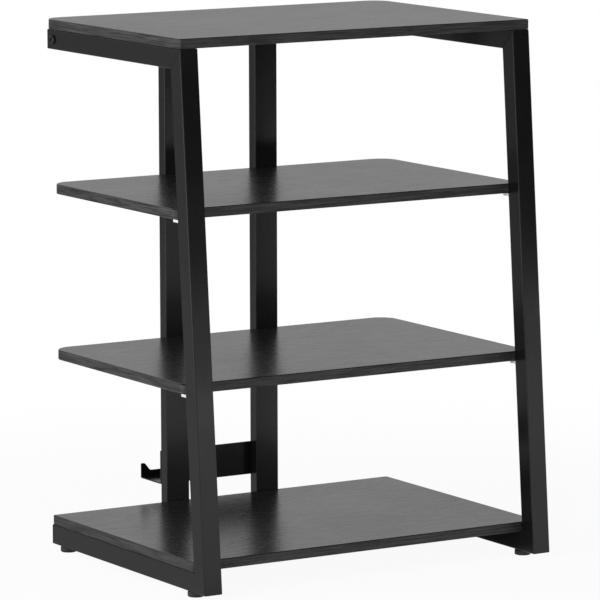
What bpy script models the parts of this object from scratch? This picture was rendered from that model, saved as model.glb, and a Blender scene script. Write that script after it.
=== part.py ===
"""Four-tier AV stand: four boards on two leaning C-shaped side frames and two rear posts.

Lengths are in metres. X runs across the stand, Y towards its back and Z up. The rear edges of
the shelves lie in the plane y = 0 under the root empty, which centres the stand on the origin.
"""
import math

import bmesh
import bpy
from mathutils import Matrix, Vector

# Side frames
WIDTH = 0.610
FRAME_HEIGHT = 0.797
BASE_DEPTH = 0.465
TOP_DEPTH = 0.402
TUBE = 0.030
TUBE_WALL = 0.0015
TUBE_CORNER = 0.002
CAP_FLANGE = 0.0025
CAP_PLUG = 0.008

# Boards
BOARD = 0.015
BOARD_EASE = 0.0005
REAR_CORNER = 0.030
FRONT_CORNER = 0.012
SHELF_RAISE = 0.005

# Rear posts and the cross tube that carries them
POST_WIDTH = 0.040
POST_DEPTH = 0.020
POST_WALL = 0.0015
POST_SPACING = 0.163
CROSS_END_PLATE = 0.004

# Cable tray
TRAY_SHEET = 0.002
TRAY_DEPTH = 0.064
TRAY_BACK = 0.053
TRAY_RISE = 0.0695
TRAY_LIP = 0.0115
TRAY_HORN = 0.0235
TRAY_HORN_FLAT = 0.006
TRAY_HORN_SLOPE = 0.012
TRAY_BEND = 0.0025
SLOT_LENGTH = 0.036
SLOT_WIDTH = 0.007
SLOT_CORNER = 0.003
SLOT_SPACING = 0.046
SLOT_SETBACK = 0.040
SLOT_COUNT = 4
TRAY_BOLT_DROP = 0.014

# Shelf brackets
BRACKET_SHEET = 0.004
BRACKET_LEAF = 0.0175
BRACKET_RISE = 0.011
BRACKET_INSET = 0.0025

# Levelling feet and their threaded inserts
FOOT_HEIGHT = 0.010
FOOT_RADIUS = 0.0125
FOOT_EDGE = 0.0012
FOOT_REAR_INSET = 0.022
FOOT_FRONT_INSET = 0.052
STEM_RADIUS = 0.004
STEM_LENGTH = 0.014
INSERT_WALL = 0.0015
INSERT_FLANGE_RADIUS = 0.008
INSERT_FLANGE = 0.0008
INSERT_LENGTH = 0.011

# Fasteners: head radius, head height, shank radius, then shares of the head for its crown, rim and socket
CROSS_BOLT = (0.007, 0.004, 0.004)
POST_BOLT = (0.0055, 0.0033, 0.003)
TRAY_BOLT = (0.0045, 0.0027, 0.0025)
PANEL_SCREW = (0.0055, 0.003, 0.0025)
SHELF_SCREW = (0.0035, 0.002, 0.00175)
LEG_SCREW = (0.003, 0.0018, 0.0015)
CROSS_BOLT_GRIP = 0.020
POST_BOLT_GRIP = 0.025
POST_CROSS_GRIP = 0.012
TRAY_BOLT_GRIP = 0.010
PANEL_SCREW_GRIP = 0.010
SHELF_SCREW_GRIP = 0.009
LEG_SCREW_GRIP = 0.008
PANEL_SCREW_INSET = 0.080
HEAD_CROWN = 0.6
HEAD_RIM = 0.4
SOCKET_SHARE = 0.36
SOCKET_DEPTH = 0.0022

# Clearance between pieces that touch, and how far a cutter overshoots a face
GAP = 0.0003
OVERSHOOT = 0.001
ARC_STEPS = 6
BOLT_STEPS = 12
INSERT_STEPS = 16
FOOT_STEPS = 32

# Levels and lines that follow from the sizes above
SIDES = {"left": -1, "right": 1}
TUBE_X = WIDTH / 2 - TUBE / 2
POST_X = POST_SPACING / 2
FRAME_TOP = FOOT_HEIGHT + FRAME_HEIGHT
BOTTOM_LEVEL = FOOT_HEIGHT + TUBE + GAP
TOP_LEVEL = FRAME_TOP + GAP
BAY = (TOP_LEVEL - BOTTOM_LEVEL - 3 * BOARD) / 3
SHELF_LEVELS = {
    "lower": BOTTOM_LEVEL + BOARD + BAY + SHELF_RAISE,
    "upper": BOTTOM_LEVEL + 2 * (BOARD + BAY) + SHELF_RAISE,
}
LEAN = math.atan2(BASE_DEPTH - TOP_DEPTH, FRAME_HEIGHT)
TRAY_WIDTH = POST_SPACING + POST_WIDTH
TRAY_LEVEL = FOOT_HEIGHT + TRAY_RISE
TRAY_FRONT = POST_DEPTH + 2 * GAP
CENTRE_Y = (TRAY_FRONT + TRAY_DEPTH - BASE_DEPTH) / 2


def leg_front(z):
    """Y of the legs' front face at height z."""
    return -BASE_DEPTH + (z - FOOT_HEIGHT) * math.tan(LEAN)


def leg_rear(z):
    """Y of the legs' rear face at height z."""
    return leg_front(z) + TUBE / math.cos(LEAN)


# Scene, collections and the root that centres the stand
for old in list(bpy.data.objects):
    bpy.data.objects.remove(old)

parts = bpy.data.collections.new("av_stand")
cutters = bpy.data.collections.new("av_stand_cutters")
for collection in (parts, cutters):
    bpy.context.scene.collection.children.link(collection)

root = bpy.data.objects.new("av_stand_root", None)
root.location = (0, -CENTRE_Y, 0)
parts.objects.link(root)


def principled(name, color, roughness, metallic=0.0):
    material = bpy.data.materials.new(name)
    material.use_nodes = True
    shader = material.node_tree.nodes["Principled BSDF"]
    shader.inputs["Base Color"].default_value = (*color, 1)
    shader.inputs["Roughness"].default_value = roughness
    shader.inputs["Metallic"].default_value = metallic
    return material


laminate = principled("black_laminate", (0.022, 0.022, 0.023), 0.42)
powder_coat = principled("black_powder_coat", (0.016, 0.016, 0.017), 0.45)
plastic = principled("black_plastic", (0.014, 0.014, 0.014), 0.55)
black_steel = principled("black_steel", (0.02, 0.02, 0.02), 0.35, 0.8)
zinc = principled("bright_zinc", (0.62, 0.63, 0.64), 0.3, 1.0)


# Modelling helpers
def add_object(name, mesh, material=None, matrix=Matrix.Identity(4)):
    """Object under the root; one without a material is a cutter."""
    item = bpy.data.objects.new(name, mesh)
    if material:
        if not mesh.materials:
            mesh.materials.append(material)
        parts.objects.link(item)
    else:
        item.hide_render = True
        item.display_type = "WIRE"
        cutters.objects.link(item)
    item.parent = root
    item.matrix_local = matrix
    return item


def rounded(corners):
    """Closed outline through corners (x, y, radius), each one turned with an arc."""
    points = []
    for index, (x, y, radius) in enumerate(corners):
        corner = Vector((x, y))
        if radius == 0:
            points.append(corner)
            continue
        before = (Vector(corners[index - 1][:2]) - corner).normalized()
        after = (Vector(corners[(index + 1) % len(corners)][:2]) - corner).normalized()
        half = before.angle(after) / 2
        centre = corner + (before + after).normalized() * (radius / math.sin(half))
        start = corner + before * (radius / math.tan(half)) - centre
        end = corner + after * (radius / math.tan(half)) - centre
        turn = math.copysign(math.pi - 2 * half, start.cross(end))
        for step in range(ARC_STEPS + 1):
            points.append(centre + Matrix.Rotation(turn * step / ARC_STEPS, 2) @ start)
    return points


def rectangle(width, depth, radius=0):
    return [
        (-width / 2, -depth / 2, radius),
        (width / 2, -depth / 2, radius),
        (width / 2, depth / 2, radius),
        (-width / 2, depth / 2, radius),
    ]


def flat_solid(*outlines, thickness):
    """Closed mesh of a flat outline, with any further outlines as holes, centred on z = 0."""
    curve = bpy.data.curves.new("outline", "CURVE")
    curve.dimensions = "2D"
    curve.fill_mode = "BOTH"
    curve.extrude = thickness / 2
    for outline in outlines:
        spline = curve.splines.new("POLY")
        spline.points.add(len(outline) - 1)
        for point, (x, y) in zip(spline.points, outline):
            point.co = (x, y, 0, 1)
        spline.use_cyclic_u = True
    holder = bpy.data.objects.new("outline", curve)
    cutters.objects.link(holder)
    evaluated = holder.evaluated_get(bpy.context.evaluated_depsgraph_get())
    mesh = bpy.data.meshes.new_from_object(evaluated)
    bpy.data.objects.remove(holder)
    bpy.data.curves.remove(curve)
    weld(mesh)
    return mesh


def weld(mesh):
    """Join the loose caps to the walls and turn every face outwards."""
    shape = bmesh.new()
    shape.from_mesh(mesh)
    bmesh.ops.remove_doubles(shape, verts=shape.verts, dist=0.00001)
    bmesh.ops.recalc_face_normals(shape, faces=shape.faces)
    shape.to_mesh(mesh)
    shape.free()


def box_mesh(name, width, depth, height):
    mesh = bpy.data.meshes.new(name)
    shape = bmesh.new()
    bmesh.ops.create_cube(shape, size=1, matrix=Matrix.Diagonal((width, depth, height, 1)))
    shape.to_mesh(mesh)
    shape.free()
    return mesh


def turned_mesh(name, profile, closed=False):
    """Profile of (radius, z) points, run down the outer side, for a Screw modifier."""
    mesh = bpy.data.meshes.new(name)
    edges = [(index, index + 1) for index in range(len(profile) - 1)]
    if closed:
        edges.append((len(profile) - 1, 0))
    mesh.from_pydata([(radius, 0, z) for radius, z in profile], edges, [])
    return mesh


def turn(item, steps):
    screw = item.modifiers.new("turn", "SCREW")
    screw.axis = "Z"
    screw.steps = steps
    screw.render_steps = steps
    screw.use_merge_vertices = True
    screw.merge_threshold = 0.00001
    screw.use_smooth_shade = False
    return item


def combine(item, tool, operation="DIFFERENCE"):
    modifier = item.modifiers.new(tool.name, "BOOLEAN")
    modifier.operation = operation
    modifier.solver = "EXACT"
    modifier.object = tool


def pointing(place, direction):
    """Matrix that puts a turned piece's seat at place, with its shank along direction and a flat up."""
    aim = Vector(direction).to_track_quat("-Z", "Y").to_matrix().to_4x4()
    return Matrix.Translation(place) @ aim @ Matrix.Rotation(math.pi / BOLT_STEPS, 4, "Z")


def fastener(name, sizes, place, direction, length, held, countersunk=False):
    """Bolt or screw on its seat, with a clearance hole through each piece that it holds."""
    head_radius, head_height, shank_radius = sizes
    hole_radius = shank_radius + GAP
    tip = -(length + 2 * GAP)
    if countersunk:
        profile = [(0, 0), (head_radius, 0), (shank_radius, -head_height)]
        hole = [(0, OVERSHOOT), (head_radius + GAP, OVERSHOOT), (head_radius + GAP, 0)]
        hole += [(hole_radius, -head_height - GAP), (hole_radius, tip), (0, tip)]
    else:
        profile = [(0, head_height), (head_radius * HEAD_CROWN, head_height)]
        profile += [(head_radius, head_height * HEAD_RIM), (head_radius, GAP), (shank_radius, GAP)]
        hole = [(0, OVERSHOOT), (hole_radius, OVERSHOOT), (hole_radius, tip), (0, tip)]
    profile += [(shank_radius, -length), (0, -length)]
    matrix = pointing(place, direction)
    bolt = add_object(name, turned_mesh(name, profile), black_steel, matrix)
    turn(bolt, BOLT_STEPS)
    cutter = add_object(name + "_hole", turned_mesh(name + "_hole", hole), None, matrix)
    turn(cutter, BOLT_STEPS)
    for piece in held:
        combine(piece, cutter)
    return bolt


# Boards
def board(name, front, rear, level, front_radius, rear_radius):
    half = WIDTH / 2
    outline = rounded([
        (-half, front, front_radius),
        (half, front, front_radius),
        (half, rear, rear_radius),
        (-half, rear, rear_radius),
    ])
    mesh = flat_solid(outline, thickness=BOARD)
    item = add_object(name, mesh, laminate, Matrix.Translation((0, 0, level + BOARD / 2)))
    ease = item.modifiers.new("eased edges", "BEVEL")
    ease.width = BOARD_EASE
    ease.segments = 1
    ease.limit_method = "ANGLE"
    ease.angle_limit = math.radians(60)
    return item


def shelf_front(level):
    """Front edge of a shelf, behind the upright leaves of its brackets."""
    return leg_rear(level + BOARD) + BRACKET_SHEET / math.cos(LEAN) + 2 * GAP


top_panel = board("top_panel", -TOP_DEPTH, POST_DEPTH, TOP_LEVEL, 0, REAR_CORNER)
bottom_panel = board("bottom_panel", leg_rear(BOTTOM_LEVEL + BOARD) + GAP, 0, BOTTOM_LEVEL, 0, 0)
shelves = {}
for shelf_name, shelf_level in SHELF_LEVELS.items():
    shelves[shelf_name] = board(
        shelf_name + "_shelf", shelf_front(shelf_level), 0, shelf_level, FRONT_CORNER, REAR_CORNER
    )


# Side frames: each tube is drawn from the four corners (y, z) of its side view
def frame_tube(name, side, outer_low, outer_high, inner_low, inner_high):
    along = (outer_high - outer_low).normalized()
    across = (inner_low - outer_low) - along * (inner_low - outer_low).dot(along)
    across.normalize()
    bore = TUBE - 2 * TUBE_WALL
    mesh = flat_solid(
        rounded(rectangle(TUBE, TUBE, TUBE_CORNER)), rounded(rectangle(bore, bore)), thickness=1
    )
    for vertex in mesh.vertices:
        share = vertex.co.y / TUBE + 0.5
        end = outer_low.lerp(inner_low, share)
        if vertex.co.z > 0:
            end = outer_high.lerp(inner_high, share)
        vertex.co.z = (end - outer_low).dot(along)
    y_axis = Vector((0, *across))
    z_axis = Vector((0, *along))
    matrix = Matrix((y_axis.cross(z_axis), y_axis, z_axis)).transposed().to_4x4()
    start = outer_low + across * (TUBE / 2)
    matrix.translation = (SIDES[side] * TUBE_X, *start)
    return add_object(name, mesh, powder_coat, matrix)


low = FOOT_HEIGHT
low_inner = FOOT_HEIGHT + TUBE
high = FRAME_TOP
high_inner = FRAME_TOP - TUBE
foot_toe = Vector((leg_front(low), low))
foot_crook = Vector((leg_rear(low_inner), low_inner))
head_toe = Vector((leg_front(high), high))
head_crook = Vector((leg_rear(high_inner), high_inner))
mitre_gap = Vector((GAP, 0))
legs = {}
top_tubes = {}
bottom_tubes = {}
for side in SIDES:
    legs[side] = frame_tube(side + "_leg", side, foot_toe, head_toe, foot_crook, head_crook)
    top_tubes[side] = frame_tube(
        side + "_top_tube", side,
        head_toe + mitre_gap, Vector((0, high)), head_crook + mitre_gap, Vector((0, high_inner)),
    )
    bottom_tubes[side] = frame_tube(
        side + "_bottom_tube", side,
        foot_toe + mitre_gap, Vector((0, low)), foot_crook + mitre_gap, Vector((0, low_inner)),
    )


# End caps in the tubes' rear ends
def end_cap(name, side, level):
    face_back = Matrix.Rotation(math.radians(-90), 4, "X")
    flange = flat_solid(rounded(rectangle(TUBE, TUBE, TUBE_CORNER)), thickness=CAP_FLANGE)
    middle = Vector((SIDES[side] * TUBE_X, GAP + CAP_FLANGE / 2, level + TUBE / 2))
    cap = add_object(name, flange, plastic, Matrix.Translation(middle) @ face_back)
    plug_side = TUBE - 2 * TUBE_WALL - 2 * GAP
    plug_length = CAP_PLUG + CAP_FLANGE / 2
    plug = add_object(
        name + "_plug", box_mesh(name + "_plug", plug_side, plug_length, plug_side), None,
        Matrix.Translation(middle - Vector((0, plug_length / 2, 0))),
    )
    combine(cap, plug, "UNION")


for side in SIDES:
    end_cap(side + "_top_end_cap", side, high_inner)
    end_cap(side + "_bottom_end_cap", side, low)

# Rear cross tube, closed by an end plate at each end
cross_length = WIDTH - 2 * TUBE - 2 * GAP
cross_level = FRAME_TOP - TUBE / 2
lay_across = Matrix.Rotation(math.radians(90), 4, "Y")
cross_place = Vector((0, -TUBE / 2 - GAP, cross_level))
cross_tube = add_object(
    "rear_cross_tube", flat_solid(rounded(rectangle(TUBE, TUBE, TUBE_CORNER)), thickness=cross_length),
    powder_coat, Matrix.Translation(cross_place) @ lay_across,
)
cross_bore = TUBE - 2 * TUBE_WALL
cross_hollow = add_object(
    "rear_cross_tube_hollow",
    box_mesh("rear_cross_tube_hollow", cross_length - 2 * CROSS_END_PLATE, cross_bore, cross_bore),
    None, Matrix.Translation(cross_place),
)
combine(cross_tube, cross_hollow)

for side, sign in SIDES.items():
    bolt = fastener(
        side + "_cross_bolt", CROSS_BOLT, Vector((sign * WIDTH / 2, cross_place.y, cross_level)),
        (-sign, 0, 0), TUBE + CROSS_BOLT_GRIP, [top_tubes[side], cross_tube],
    )
    socket = bpy.data.meshes.new(side + "_cross_bolt_socket")
    shape = bmesh.new()
    socket_radius = CROSS_BOLT[0] * SOCKET_SHARE
    bmesh.ops.create_cone(
        shape, cap_ends=True, segments=6, radius1=socket_radius, radius2=socket_radius, depth=2 * SOCKET_DEPTH
    )
    shape.to_mesh(socket)
    shape.free()
    socket_place = bolt.matrix_local @ Matrix.Translation((0, 0, CROSS_BOLT[1]))
    combine(bolt, add_object(socket.name, socket, None, socket_place))

# Rear posts, from under the bottom panel to under the top panel
post_low = FOOT_HEIGHT + TUBE + GAP
post_length = FRAME_TOP - post_low
posts = {}
for side, sign in SIDES.items():
    mesh = flat_solid(
        rounded(rectangle(POST_WIDTH, POST_DEPTH, TUBE_CORNER)),
        rounded(rectangle(POST_WIDTH - 2 * POST_WALL, POST_DEPTH - 2 * POST_WALL)),
        thickness=post_length,
    )
    place = (sign * POST_X, GAP + POST_DEPTH / 2, post_low + post_length / 2)
    posts[side] = add_object(side + "_post", mesh, powder_coat, Matrix.Translation(place))
    bolted = {"lower": shelves["lower"], "upper": shelves["upper"], "bottom": bottom_panel}
    levels = dict(SHELF_LEVELS, bottom=BOTTOM_LEVEL)
    for board_name, piece in bolted.items():
        seat = Vector((sign * POST_X, GAP + POST_DEPTH, levels[board_name] + BOARD / 2))
        fastener(
            f"{side}_{board_name}_post_bolt", POST_BOLT, seat, (0, -1, 0),
            POST_DEPTH + POST_BOLT_GRIP, [posts[side], piece],
        )
    fastener(
        side + "_post_head_bolt", POST_BOLT, Vector((sign * POST_X, GAP + POST_DEPTH, cross_level)),
        (0, -1, 0), POST_DEPTH + POST_CROSS_GRIP, [posts[side], cross_tube],
    )


# Cable tray: one bent sheet with raised lip ends and slots for cable ties
def tray_lip_top(x):
    """Height of the lip's top edge above the tray's underside, raised in a smooth horn at each end."""
    from_end = TRAY_WIDTH / 2 - abs(x)
    share = min(max((from_end - TRAY_HORN_FLAT) / TRAY_HORN_SLOPE, 0), 1)
    return TRAY_LIP + (TRAY_HORN - TRAY_LIP) * (0.5 + 0.5 * math.cos(math.pi * share))


def tray_mesh():
    rear = TRAY_FRONT + TRAY_DEPTH
    bends = rounded([
        (TRAY_FRONT, TRAY_LEVEL + TRAY_BACK, 0),
        (TRAY_FRONT, TRAY_LEVEL, TRAY_BEND),
        (rear, TRAY_LEVEL, TRAY_BEND),
        (rear, TRAY_LEVEL + TRAY_LIP, 0),
    ])
    half = TRAY_WIDTH / 2
    horn_steps = [TRAY_HORN_FLAT + TRAY_HORN_SLOPE * step / ARC_STEPS for step in range(ARC_STEPS + 1)]
    left_half = [-half] + [-half + step for step in horn_steps]
    stations = left_half + [-x for x in reversed(left_half)]
    shape = bmesh.new()
    rows = []
    for x in stations:
        row = [shape.verts.new((x, y, z)) for y, z in bends]
        row[-1].co.z = TRAY_LEVEL + tray_lip_top(x)
        rows.append(row)
    for row, following in zip(rows, rows[1:]):
        for index in range(len(bends) - 1):
            shape.faces.new((row[index], row[index + 1], following[index + 1], following[index]))
    mesh = bpy.data.meshes.new("cable_tray")
    shape.to_mesh(mesh)
    shape.free()
    return mesh


tray = add_object("cable_tray", tray_mesh(), powder_coat)
sheet = tray.modifiers.new("sheet", "SOLIDIFY")
sheet.thickness = TRAY_SHEET
sheet.offset = -1
sheet.use_even_offset = True
for slot_index in range(SLOT_COUNT):
    slot_outline = rounded(rectangle(SLOT_LENGTH, SLOT_WIDTH, SLOT_CORNER))
    slot_x = (slot_index - (SLOT_COUNT - 1) / 2) * SLOT_SPACING
    slot_place = (slot_x, TRAY_FRONT + SLOT_SETBACK, TRAY_LEVEL + TRAY_SHEET / 2)
    slot = add_object(
        f"cable_tray_slot_{slot_index + 1}",
        flat_solid(slot_outline, thickness=TRAY_SHEET + 2 * OVERSHOOT), None, Matrix.Translation(slot_place),
    )
    combine(tray, slot)
for side, sign in SIDES.items():
    seat = Vector((sign * POST_X, TRAY_FRONT + TRAY_SHEET, TRAY_LEVEL + TRAY_BACK - TRAY_BOLT_DROP))
    fastener(
        side + "_tray_bolt", TRAY_BOLT, seat, (0, -1, 0), TRAY_SHEET + TRAY_BOLT_GRIP, [tray, posts[side]]
    )


# Shelf brackets: a leaf under the shelf and an upright along the leg's rear face
def bracket(name, side, level):
    under = level - GAP - BRACKET_SHEET
    top = level + BRACKET_RISE
    upright = BRACKET_SHEET / math.cos(LEAN)
    heel = leg_rear(under) + GAP
    outline = rounded([
        (heel, under, 0),
        (heel + BRACKET_LEAF, under, 0),
        (heel + BRACKET_LEAF, under + BRACKET_SHEET, 0),
        (leg_rear(under + BRACKET_SHEET) + GAP + upright, under + BRACKET_SHEET, 0),
        (leg_rear(top) + GAP + upright, top, 0),
        (leg_rear(top) + GAP, top, 0),
    ])
    mesh = flat_solid(outline, thickness=TUBE - 2 * BRACKET_INSET)
    turn_sideways = Matrix(((0, 0, 1, SIDES[side] * TUBE_X), (1, 0, 0, 0), (0, 1, 0, 0), (0, 0, 0, 1)))
    return add_object(name, mesh, zinc, turn_sideways)


for shelf_name, shelf_level in SHELF_LEVELS.items():
    for side, sign in SIDES.items():
        stem = f"{shelf_name}_{side}_bracket"
        angle = bracket(stem, side, shelf_level)
        under = shelf_level - GAP - BRACKET_SHEET
        leaf_middle = leg_rear(under) + (BRACKET_SHEET + BRACKET_LEAF) / 2
        fastener(
            stem + "_shelf_screw", SHELF_SCREW, Vector((sign * TUBE_X, leaf_middle, under)), (0, 0, 1),
            BRACKET_SHEET + SHELF_SCREW_GRIP, [angle, shelves[shelf_name]],
        )
        middle = shelf_level + BRACKET_RISE / 2
        inward = Vector((0, -math.cos(LEAN), math.sin(LEAN)))
        seat_y = leg_rear(middle) + GAP + BRACKET_SHEET / math.cos(LEAN)
        fastener(
            stem + "_leg_screw", LEG_SCREW, Vector((sign * TUBE_X, seat_y, middle)), inward,
            BRACKET_SHEET + LEG_SCREW_GRIP, [angle, legs[side]], countersunk=True,
        )

# Screws up through the tubes into the top and bottom panels
for side, sign in SIDES.items():
    for panel_name, panel, tube, under in (
        ("top", top_panel, top_tubes[side], high_inner),
        ("bottom", bottom_panel, bottom_tubes[side], low),
    ):
        for end_name, y in (
            ("front", leg_rear(under + TUBE) + PANEL_SCREW_INSET),
            ("rear", -PANEL_SCREW_INSET),
        ):
            fastener(
                f"{side}_{panel_name}_panel_screw_{end_name}", PANEL_SCREW, Vector((sign * TUBE_X, y, under)),
                (0, 0, 1), TUBE + PANEL_SCREW_GRIP, [tube, panel], countersunk=True,
            )


# Levelling feet on threaded inserts
insert_bore = STEM_RADIUS + GAP
insert_collar = insert_bore + INSERT_WALL
insert_profile = [
    (insert_bore, INSERT_LENGTH),
    (insert_collar, INSERT_LENGTH),
    (insert_collar, -GAP),
    (INSERT_FLANGE_RADIUS, -GAP),
    (INSERT_FLANGE_RADIUS, -GAP - INSERT_FLANGE),
    (insert_bore, -GAP - INSERT_FLANGE),
]
collar_hole = insert_collar + GAP
collar_profile = [
    (0, TUBE / 2),
    (collar_hole, TUBE / 2),
    (collar_hole, -OVERSHOOT),
    (0, -OVERSHOOT),
]
pad_top = -2 * GAP - INSERT_FLANGE
foot_profile = [
    (0, STEM_LENGTH),
    (STEM_RADIUS, STEM_LENGTH),
    (STEM_RADIUS, pad_top),
    (FOOT_RADIUS - FOOT_EDGE, pad_top),
    (FOOT_RADIUS, pad_top - FOOT_EDGE),
    (FOOT_RADIUS, -FOOT_HEIGHT + FOOT_EDGE),
    (FOOT_RADIUS - FOOT_EDGE, -FOOT_HEIGHT),
    (0, -FOOT_HEIGHT),
]
for side, sign in SIDES.items():
    for end_name, y in (("front", -BASE_DEPTH + FOOT_FRONT_INSET), ("rear", -FOOT_REAR_INSET)):
        stem = f"{side}_{end_name}_foot"
        axis = Matrix.Translation((sign * TUBE_X, y, FOOT_HEIGHT))
        turn(add_object(stem, turned_mesh(stem, foot_profile), plastic, axis), FOOT_STEPS)
        insert = add_object(stem + "_insert", turned_mesh(stem + "_insert", insert_profile, True), zinc, axis)
        turn(insert, INSERT_STEPS)
        hole = add_object(stem + "_hole", turned_mesh(stem + "_hole", collar_profile), None, axis)
        turn(hole, INSERT_STEPS)
        combine(bottom_tubes[side], hole)
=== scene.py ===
"""Four-tier AV stand: finished pieces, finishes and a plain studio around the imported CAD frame.

The file is laid out as a Blender add-on. Lengths are in metres in the frame's own axes: X runs
across the stand, Y towards its back and Z up.
"""
import math
from collections import namedtuple

import bmesh
import bpy
from bpy.props import FloatProperty, FloatVectorProperty, IntProperty, PointerProperty
from mathutils import Matrix, Vector


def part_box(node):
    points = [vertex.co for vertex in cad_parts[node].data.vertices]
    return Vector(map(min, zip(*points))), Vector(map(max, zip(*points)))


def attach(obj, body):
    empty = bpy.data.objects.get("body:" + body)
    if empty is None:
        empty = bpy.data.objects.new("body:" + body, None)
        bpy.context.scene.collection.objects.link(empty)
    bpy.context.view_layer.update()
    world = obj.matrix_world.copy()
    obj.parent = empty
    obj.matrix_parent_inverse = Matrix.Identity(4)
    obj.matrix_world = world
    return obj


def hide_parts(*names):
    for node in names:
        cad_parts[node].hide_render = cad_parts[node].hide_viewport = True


bl_info = {
    "name": "AV Stand Looks",
    "version": (1, 0, 0),
    "blender": (4, 5, 0),
    "location": "3D View > Sidebar > AV Stand",
    "description": "Dresses the packed frame of a four-tier AV stand",
    "category": "Object",
}

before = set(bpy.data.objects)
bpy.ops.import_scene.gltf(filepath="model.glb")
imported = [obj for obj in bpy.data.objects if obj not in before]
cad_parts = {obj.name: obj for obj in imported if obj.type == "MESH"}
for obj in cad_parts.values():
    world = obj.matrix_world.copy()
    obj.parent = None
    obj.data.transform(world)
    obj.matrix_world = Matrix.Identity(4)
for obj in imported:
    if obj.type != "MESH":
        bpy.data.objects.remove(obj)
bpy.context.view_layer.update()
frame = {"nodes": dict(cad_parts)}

# Directions, and the clearance that the CAD solids keep
SIDES = {"left": -1, "right": 1}
X, Y, Z = Vector((1, 0, 0)), Vector((0, 1, 0)), Vector((0, 0, 1))
GAP = 0.0003

# Sizes read from the frame
LEG_LOW, LEG_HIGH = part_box("left_leg")
TUBE = LEG_HIGH.x - LEG_LOW.x
FRAME_LOW = LEG_LOW.z
FRAME_TOP = LEG_HIGH.z
TOE_Y = LEG_LOW.y
HEAD_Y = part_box("left_top_tube")[0].y - GAP
REAR_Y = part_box("left_top_tube")[1].y
HALF_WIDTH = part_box("right_top_tube")[1].x
TUBE_X = HALF_WIDTH - TUBE / 2
LEAN = math.atan2(HEAD_Y - TOE_Y, FRAME_TOP - FRAME_LOW)
LEG_AXIS = Vector((0, math.sin(LEAN), math.cos(LEAN)))
LEG_ACROSS = Vector((0, math.cos(LEAN), -math.sin(LEAN)))

# Names of pieces that repeat
ENDS = ("front", "rear")
BRACKETS = [f"{shelf}_{side}_bracket" for shelf in ("lower", "upper") for side in SIDES]
FEET = [f"{side}_{end}_foot" for side in SIDES for end in ENDS]

# Tests of place and direction: a distance that counts as none, a cosine that counts as parallel
NEAR = 1e-5
PARALLEL = 0.999
# How far a cutter stands out of the face that it cuts
CUTTER_REACH = 0.001

# Bolts and screws
Fastener = namedtuple("Fastener", "radius height stem recess")
FASTENERS = {
    "cross_bolt": Fastener(0.007, 0.004, 0.004, "hexagon"),
    "post_bolt": Fastener(0.0055, 0.0033, 0.003, "hexagon"),
    "tray_bolt": Fastener(0.0045, 0.0027, 0.0025, "cross"),
    "panel_screw": Fastener(0.0055, 0.003, 0.0025, "cross"),
    "shelf_screw": Fastener(0.0035, 0.002, 0.00175, "cross"),
    "leg_screw": Fastener(0.003, 0.0018, 0.0015, "cross"),
}
COUNTERSUNK = ("leg_screw", "panel_screw")


def leg_rear(z):
    """Y of the legs' rear face at height z."""
    return TOE_Y + (z - FRAME_LOW) * math.tan(LEAN) + TUBE / math.cos(LEAN)


# Settings
def length(name, default, description):
    return FloatProperty(
        name=name, description=description, default=default, min=0, precision=5, unit="LENGTH"
    )


def colour(name, default, description):
    return FloatVectorProperty(
        name=name, description=description, default=default, min=0, max=1, size=3, subtype="COLOR"
    )


def factor(name, default, description):
    return FloatProperty(
        name=name, description=description, default=default, min=0, max=1, subtype="FACTOR"
    )


def power(name, default, description):
    return FloatProperty(name=name, description=description, default=default, min=0, unit="POWER")


class BoardSettings(bpy.types.PropertyGroup):
    """Shape and finish of the four boards"""

    front_corner: length("Front corner", 0.012, "Plan radius of the shelves' front corners")
    rear_corner: length("Rear corner", 0.030, "Plan radius of the rear corners of top panel and shelves")
    square_corner: length("Square corner", 0.0025, "Plan radius left on a corner that is cut square")
    upper_radius: length("Upper radius", 0.0018, "Rounding of the edge band's upper edge")
    lower_radius: length("Lower radius", 0.0008, "Rounding of the edge band's lower edge")
    band: length("Edge band", 0.0022, "Thickness of the edge band, seen from above")
    laminate_color: colour("Laminate", (0.011, 0.011, 0.0112), "Mean colour of the grained laminate")
    band_color: colour("Edge band colour", (0.03, 0.03, 0.0306), "Mean colour of the edge band")


class FrameSettings(bpy.types.PropertyGroup):
    """Shape and finish of the side frames, posts and cross tube"""

    corner: length("Tube corner", 0.0016, "Outer radius of the tubes' long corners")
    wall: length("Tube wall", 0.0015, "Wall thickness of the tubes")
    mitre_edge: length("Mitre edge", 0.0008, "Rounding of the tubes' edges at the mitre joints")
    cap_flange: length("Cap flange", 0.0025, "Thickness of the end caps' visible flange")
    cap_crown: length("Cap crown", 0.001125, "Rounding of the end caps' outer edge")
    cap_edge: length("Cap edge", 0.0006, "Rounding of the end caps' inner end")
    coat_color: colour("Powder coat", (0.004, 0.004, 0.0041), "Colour of the black powder coat")
    cap_color: colour("Cap plastic", (0.006, 0.006, 0.006), "Colour of the end caps")


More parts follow.
